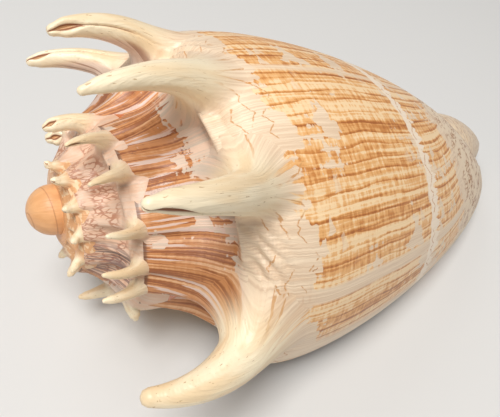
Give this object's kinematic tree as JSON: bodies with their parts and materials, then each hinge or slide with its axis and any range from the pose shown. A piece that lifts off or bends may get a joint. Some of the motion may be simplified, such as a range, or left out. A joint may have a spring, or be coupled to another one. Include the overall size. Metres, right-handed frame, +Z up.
{
  "type": "imperial volute shell",
  "caption": "Large sea snail shell lying on its opening: a smooth tapering body whorl with long curved shoulder spines, a low spiny spire and an open mouth.",
  "frame": {"origin": "under the middle of the shell's box, on the surface it lies on", "axes": "+Z up, +X from the spire towards the narrow front end, the spiny shoulder towards -X"},
  "size_m": [0.1894, 0.109, 0.1013],
  "materials": {
    "shell": "porcelain-like, patterned in orange-brown on pinkish cream"
  },
  "bodies": {
    "root": {"shell": "shell"}
  },
  "joints": []
}
